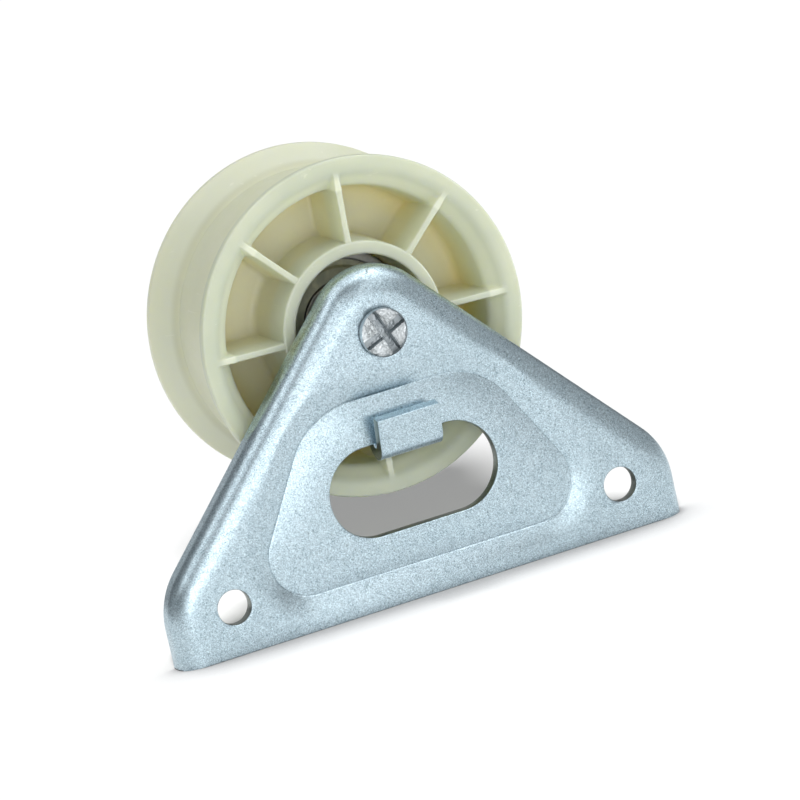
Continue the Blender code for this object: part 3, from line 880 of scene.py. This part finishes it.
def pulley_profile():
    """Closed half section of the pulley as (radius, y), from the front bore round to the rear and back."""
    half = PULLEY_HALF
    bore = BEARING_RADIUS + PLAY
    shoulder = BEARING_HALF + PLAY
    side = [
        (HUB_RADIUS, half, 0.3),
        (HUB_RADIUS + HUB_DRAFT, WEB / 2, 1.0),
        (POCKET_RADIUS - POCKET_DRAFT, WEB / 2, 1.3),
        (POCKET_RADIUS, half - LIP_DEPTH, 2.0),
        (LIP_RADIUS, half, 2.2),
        (PULLEY_RADIUS, half, RIM_BEVEL),
        (PULLEY_RADIUS, half - RIM_EDGE, 0.25),
        (GROOVE_RADIUS, half - RIM_EDGE - FLANK_DEPTH, 0.7),
    ]
    front = [(radius, -y, rounding) for radius, y, rounding in side]
    inside = [
        (bore, half, 0.3),
        (bore, shoulder + SHOULDER, 0.1),
        (SHOULDER_RADIUS, shoulder + SHOULDER, 0.15),
        (SHOULDER_RADIUS, shoulder, 0.15),
        (bore, shoulder, 0.1),
        (bore, -half, 0.3),
    ]
    return rounded(front + side[::-1] + inside, closed=True, longest=PULLEY_RUN)


def make_pulley(nylon):
    """One solid wheel, whose rings rise over the ribs inside the pockets of both sides."""
    rings = []
    top = PULLEY_HALF - RIB_SET_BACK
    for radius, y in pulley_profile():
        in_pocket = HUB_RADIUS - NEAR < radius < LIP_RADIUS + NEAR and abs(y) > WEB / 2 - NEAR
        open_side = in_pocket and not (radius > GROOVE_RADIUS - NEAR and abs(y) < PULLEY_HALF - LIP_DEPTH)
        height = max(top - abs(y), 0.0) if open_side else 0.0
        rings.append(pulley_ring(radius, y, height, math.copysign(1.0, y)))
    mesh = loft("pulley_wheel", rings)
    pulley = add_object("pulley_wheel", mesh, nylon, AXLE_HEIGHT, PULLEY_MIDDLE, sharp=SHARP_ON_PULLEY)
    place(pulley, "pulley", "nylon", "pulley")
    return pulley


# ---------------------------------------------------------------- bearing

def race_groove(start, end):
    """Corners along the groove that the balls run in."""
    groove = arc((BALL_CIRCLE, 0.0), BALL_RADIUS + PLAY, start, end, RACE_STEPS)
    return [(radius, y, 0) for radius, y in groove]


def make_bearing_rings(steel):
    """The outer ring with its two shield seats, and the inner ring, each with a groove for the balls."""
    half = BEARING_HALF
    outer_edge = math.degrees(math.acos((OUTER_LAND - BALL_CIRCLE) / (BALL_RADIUS + PLAY)))
    inner_edge = math.degrees(math.acos((INNER_LAND - BALL_CIRCLE) / (BALL_RADIUS + PLAY)))
    seat = half - SHIELD_SEAT_DEPTH
    bore = AXLE_RADIUS + PLAY
    outer = [
        (BEARING_RADIUS, -half, RING_BEVEL),
        (BEARING_RADIUS, half, RING_BEVEL),
        (SHIELD_SEAT, half, 0.12),
        (SHIELD_SEAT, seat, 0.05),
        (OUTER_LAND, seat, 0.05),
        *race_groove(outer_edge, -outer_edge),
        (OUTER_LAND, -seat, 0.05),
        (SHIELD_SEAT, -seat, 0.05),
        (SHIELD_SEAT, -half, 0.12),
    ]
    inner = [
        (bore, half, RING_BEVEL),
        (bore, -half, RING_BEVEL),
        (INNER_LAND, -half, RING_BEVEL / 2),
        *race_groove(-inner_edge, inner_edge - 360),
        (INNER_LAND, half, RING_BEVEL / 2),
    ]
    for name, body, profile in (("outer", "pulley", outer), ("inner", "bracket", inner)):
        mesh = turned(f"{name}_race_ring", rounded(profile, closed=True))
        ring = add_object(f"{name}_race_ring", mesh, steel, AXLE_HEIGHT, PULLEY_MIDDLE)
        place(ring, body, "bearing_steel", f"bearing_{name}_ring")


def make_shields(steel):
    """Stamped discs with a raised middle, clipped into the outer ring."""
    seat = BEARING_HALF - SHIELD_SEAT_DEPTH + PLAY
    crown = BEARING_HALF - SHIELD - SHIELD_SET_BACK
    step_outside = SHIELD_STEP + SHIELD_STEP_RUN / 2
    step_inside = SHIELD_STEP - SHIELD_STEP_RUN / 2
    outline = [
        (SHIELD_SEAT - PLAY, seat, 0.05),
        (SHIELD_SEAT - PLAY, seat + SHIELD, 0.13),
        (step_outside, seat + SHIELD, 0.15),
        (step_inside, crown + SHIELD, 0.3),
        (INNER_LAND + SHIELD_BORE_GAP, crown + SHIELD, 0.1),
        (INNER_LAND + SHIELD_BORE_GAP, crown, 0.05),
        (step_inside - PLAY, crown, 0.1),
        (step_outside - PLAY, seat, 0.3),
    ]
    for name, side in (("front", -1), ("rear", 1)):
        profile = [(radius, side * y) for radius, y in rounded(outline, closed=True)]
        mesh = turned(f"{name}_dust_shield", profile)
        shield = add_object(f"{name}_dust_shield", mesh, steel, AXLE_HEIGHT, PULLEY_MIDDLE)
        place(shield, "pulley", "shield_steel", f"{name}_shield")


def make_cage(steel):
    """Two pressed ribbons that wave round either side of every ball."""
    pocket = BALL_RADIUS + CAGE_PLAY
    stations = BALL_COUNT * CAGE_STEPS
    for name, side in (("front", -1), ("rear", 1)):
        rings = []
        for station in range(stations):
            angle = 2 * math.pi * station / stations
            from_ball = math.remainder(angle, 2 * math.pi / BALL_COUNT) * BALL_CIRCLE
            inner = max(PLAY / 2, math.sqrt(max(0.0, pocket ** 2 - from_ball ** 2)))
            thick = pocket + CAGE_SHEET
            outer = max(PLAY / 2 + CAGE_SHEET, math.sqrt(max(0.0, thick ** 2 - from_ball ** 2)))
            corners = [
                (CAGE_INSIDE, inner, CAGE_EDGE),
                (CAGE_OUTSIDE, inner, CAGE_EDGE),
                (CAGE_OUTSIDE, outer, CAGE_EDGE),
                (CAGE_INSIDE, outer, CAGE_EDGE),
            ]
            section = rounded(corners, closed=True, steps=2)
            rings.append([(r * math.cos(angle), side * y, r * math.sin(angle)) for r, y in section])
        mesh = loft(f"{name}_cage_ribbon", rings)
        ribbon = add_object(f"{name}_cage_ribbon", mesh, steel, AXLE_HEIGHT, PULLEY_MIDDLE)
        place(ribbon, "cage", "shield_steel", f"{name}_cage_half")


def make_balls(steel):
    """One ball at each CAD ball's place."""
    work = bmesh.new()
    bmesh.ops.create_icosphere(work, subdivisions=4, radius=BALL_RADIUS * MM)
    mesh = bpy.data.meshes.new("steel_ball")
    work.to_mesh(mesh)
    work.free()
    for index in range(1, BALL_COUNT + 1):
        low, high = span(f"ball_{index}")
        ball = add_object(f"steel_ball_{index}", mesh, steel)
        ball.location = Vector((low + high) / 2 * MM)
        place(ball, f"ball_{index}", "bearing_steel", f"ball_{index}")


# ---------------------------------------------------------------- axle

def stake_height(x, z):
    """Height of the staked tip at (x, z): below 0 in its grooves and above 0 on the ridges beside them."""
    radius = math.hypot(x, z)
    height = 0.0
    for quarter in (0, 1):
        turn = STAKE_TURN + quarter * math.pi / 2
        across = abs(-x * math.sin(turn) + z * math.cos(turn))
        wall = min(1.0, max(0.0, (across - STAKE_HALF) / STAKE_WALL))
        groove = -(STAKE_DEPTH + STAKE_GROOVE_SLOPE * radius) * (1 - wall * wall * (3 - 2 * wall))
        height = min(height, groove)
        if groove > -STAKE_RIDGE_START:
            from_edge = (across - STAKE_HALF - STAKE_WALL) / STAKE_RIDGE_RUN
            height += STAKE_RIDGE * math.exp(-(from_edge ** 2))
    coarse = noise.noise(Vector((x, z, 0.0)) * STAKE_COARSE_PER_MM)
    fine = noise.noise(Vector((x, z, 3.0)) * STAKE_FINE_PER_MM)
    return height - STAKE_SLOPE * radius + STAKE_ROUGH * (coarse + STAKE_FINE_SHARE * fine)


def make_pin(steel):
    """A headed pin, put in from behind and staked over the bracket's front with a cross."""
    tip = PIN_LOW[1]
    head_start = PIN_HIGH[1] - PIN_HEAD
    head_radius = PIN_HIGH[0]
    shank = rounded(
        [
            (PIN_CENTRE, PIN_HIGH[1], 0),
            (head_radius, PIN_HIGH[1], PIN_BEVEL),
            (head_radius, head_start, 0.1),
            (AXLE_RADIUS, head_start, 0.1),
            (AXLE_RADIUS, BACK_FACE + PLAY, 0.1),
            (TENON_RADIUS, BACK_FACE + PLAY, 0.05),
            (TENON_RADIUS, tip + 2 * TIP_ROUND, 0),
        ]
    )
    rings = [around_axis(radius, y, PIN_SIDES) for radius, y in shank]
    deepest = FRONT_FACE - PLAY
    outermost = TENON_RADIUS - TIP_EDGE
    for step in range(TIP_STEPS + 1):
        radius = outermost - (outermost - TIP_CENTRE) * step / TIP_STEPS
        edge = max(0.0, (radius - TENON_RADIUS + TIP_ROUND) / TIP_ROUND)
        drop = TIP_ROUND * (1 - math.sqrt(max(0.0, 1 - edge * edge)))
        ring = []
        for x, flat, z in around_axis(radius, tip, PIN_SIDES):
            y = flat + STAKE_RIDGE + STAKE_ROUGH - stake_height(x, z) + drop
            ring.append((x, min(max(y, tip), deepest), z))
        rings.append(ring)
    pin = add_object("staked_pin", loft("staked_pin", rings, closed=False), steel, AXLE_HEIGHT)
    place(pin, "bracket", "turned_steel", "axle_pin")


def make_spacer_and_washer(steel):
    """The sleeve in front of the bearing and the washer behind it, with rounded edges."""
    bore = AXLE_RADIUS + PLAY
    for name, node, low, high in (
        ("spacer_tube", "spacer_sleeve", SLEEVE_LOW, SLEEVE_HIGH),
        ("pin_washer", "rear_washer", WASHER_LOW, WASHER_HIGH),
    ):
        corners = [
            (bore, low[1], 0.15),
            (high[0], low[1], 0.2),
            (high[0], high[1], 0.2),
            (bore, high[1], 0.15),
        ]
        mesh = turned(name, rounded(corners, closed=True))
        place(add_object(name, mesh, steel, AXLE_HEIGHT), "bracket", "turned_steel", node)


# ---------------------------------------------------------------- studio

def floor_material():
    """Pale paper with a painted contact shadow: it darkens close under the part's edges, where the room's
    light can't reach.
    """
    floor = Shading("floor_paper", 0.85, Specular_IOR_Level=0.1)
    pale = floor.mix(floor.noise(400.0), (0.86, 0.86, 0.86), (0.88, 0.88, 0.88))
    reach = {"Color": (1.0, 1.0, 1.0, 1.0), "Distance": CONTACT_REACH * MM}
    open_sky = floor.node("ShaderNodeAmbientOcclusion", reach, samples=12).outputs["AO"]
    # Painted shadow: the paper's colour darkens where the part hides the open room from it.
    floor.colour(floor.mix(floor.between(open_sky, 0.45, 1.0), (0.37, 0.365, 0.365), pale))
    return floor.material


def add_light(name, light, source, receivers):
    """Add a light that comes from a direction and falls on some objects only, unseen by the camera."""
    made = bpy.data.objects.new(name, light)
    made.rotation_euler = source.to_track_quat("Z", "Y").to_euler()
    made.visible_camera = False
    made.light_linking.receiver_collection = receivers
    bpy.context.collection.objects.link(made)
    return made


def make_floor():
    """A flat sheet under the part."""
    half = FLOOR_SIZE / 2 / MM
    corners = [(-half, -half), (half, -half), (half, half), (-half, half)]
    work = bmesh.new()
    work.faces.new([work.verts.new((x * MM, y * MM, FLOOR_LEVEL * MM)) for x, y in corners])
    mesh = bpy.data.meshes.new("studio_floor")
    work.to_mesh(mesh)
    work.free()
    floor = add_object("studio_floor", mesh, floor_material())
    return floor


def make_lights(floor, pulley):
    """Light the part and the floor apart, so that the floor is white and the part keeps its tones."""
    floor_only = bpy.data.collections.new("floor_only")
    floor_only.objects.link(floor)
    all_but_floor = bpy.data.collections.new("all_but_floor")
    all_but_floor.objects.link(floor)
    all_but_floor.collection_objects[0].light_linking.link_state = "EXCLUDE"
    pulley_only = bpy.data.collections.new("pulley_only")
    pulley_only.objects.link(pulley)
    for softboxes, receivers in ((SOFTBOXES, all_but_floor), (PULLEY_LIGHTS, pulley_only)):
        for name, at, towards, width, height, watts in softboxes:
            light = bpy.data.lights.new(name, "AREA")
            light.shape = "RECTANGLE"
            light.size = width
            light.size_y = height
            light.energy = watts
            add_light(name, light, Vector(at) - Vector(towards), receivers).location = Vector(at) * MM
    for name, source, width, watts in FLOOR_LIGHTS:
        light = bpy.data.lights.new(name, "SUN")
        light.angle = math.radians(width)
        light.energy = watts
        add_light(name, light, Vector(source), floor_only)


def make_world():
    """Even grey light from all round, shown without a film look."""
    world = bpy.data.worlds.new("studio")
    world.use_nodes = True
    background = world.node_tree.nodes["Background"]
    background.inputs["Color"].default_value = (*WORLD_GREY, 1.0)
    background.inputs["Strength"].default_value = WORLD_STRENGTH
    bpy.context.scene.world = world
    bpy.context.scene.view_settings.view_transform = "Standard"


def make_camera():
    """The camera, rolled about its line of sight."""
    lens = bpy.data.cameras.new("camera")
    lens.lens = CAMERA_LENS
    lens.clip_end = 10.0
    camera = bpy.data.objects.new("camera", lens)
    facing = (CAMERA_AIM - CAMERA_AT).to_track_quat("-Z", "Y").to_matrix()
    roll = Matrix.Rotation(CAMERA_ROLL, 3, "Z")
    camera.matrix_world = Matrix.Translation(CAMERA_AT * MM) @ (facing @ roll).to_4x4()
    bpy.context.collection.objects.link(camera)
    bpy.context.scene.camera = camera


zinc = zinc_material()
nylon = nylon_material()
turned_steel = turned_steel_material()
bearing_steel = bearing_steel_material()
shield_steel = shield_steel_material()
make_bracket(zinc)
pulley = make_pulley(nylon)
make_bearing_rings(bearing_steel)
make_shields(shield_steel)
make_cage(shield_steel)
make_balls(bearing_steel)
make_pin(turned_steel)
make_spacer_and_washer(turned_steel)
make_lights(make_floor(), pulley)
make_world()
make_camera()
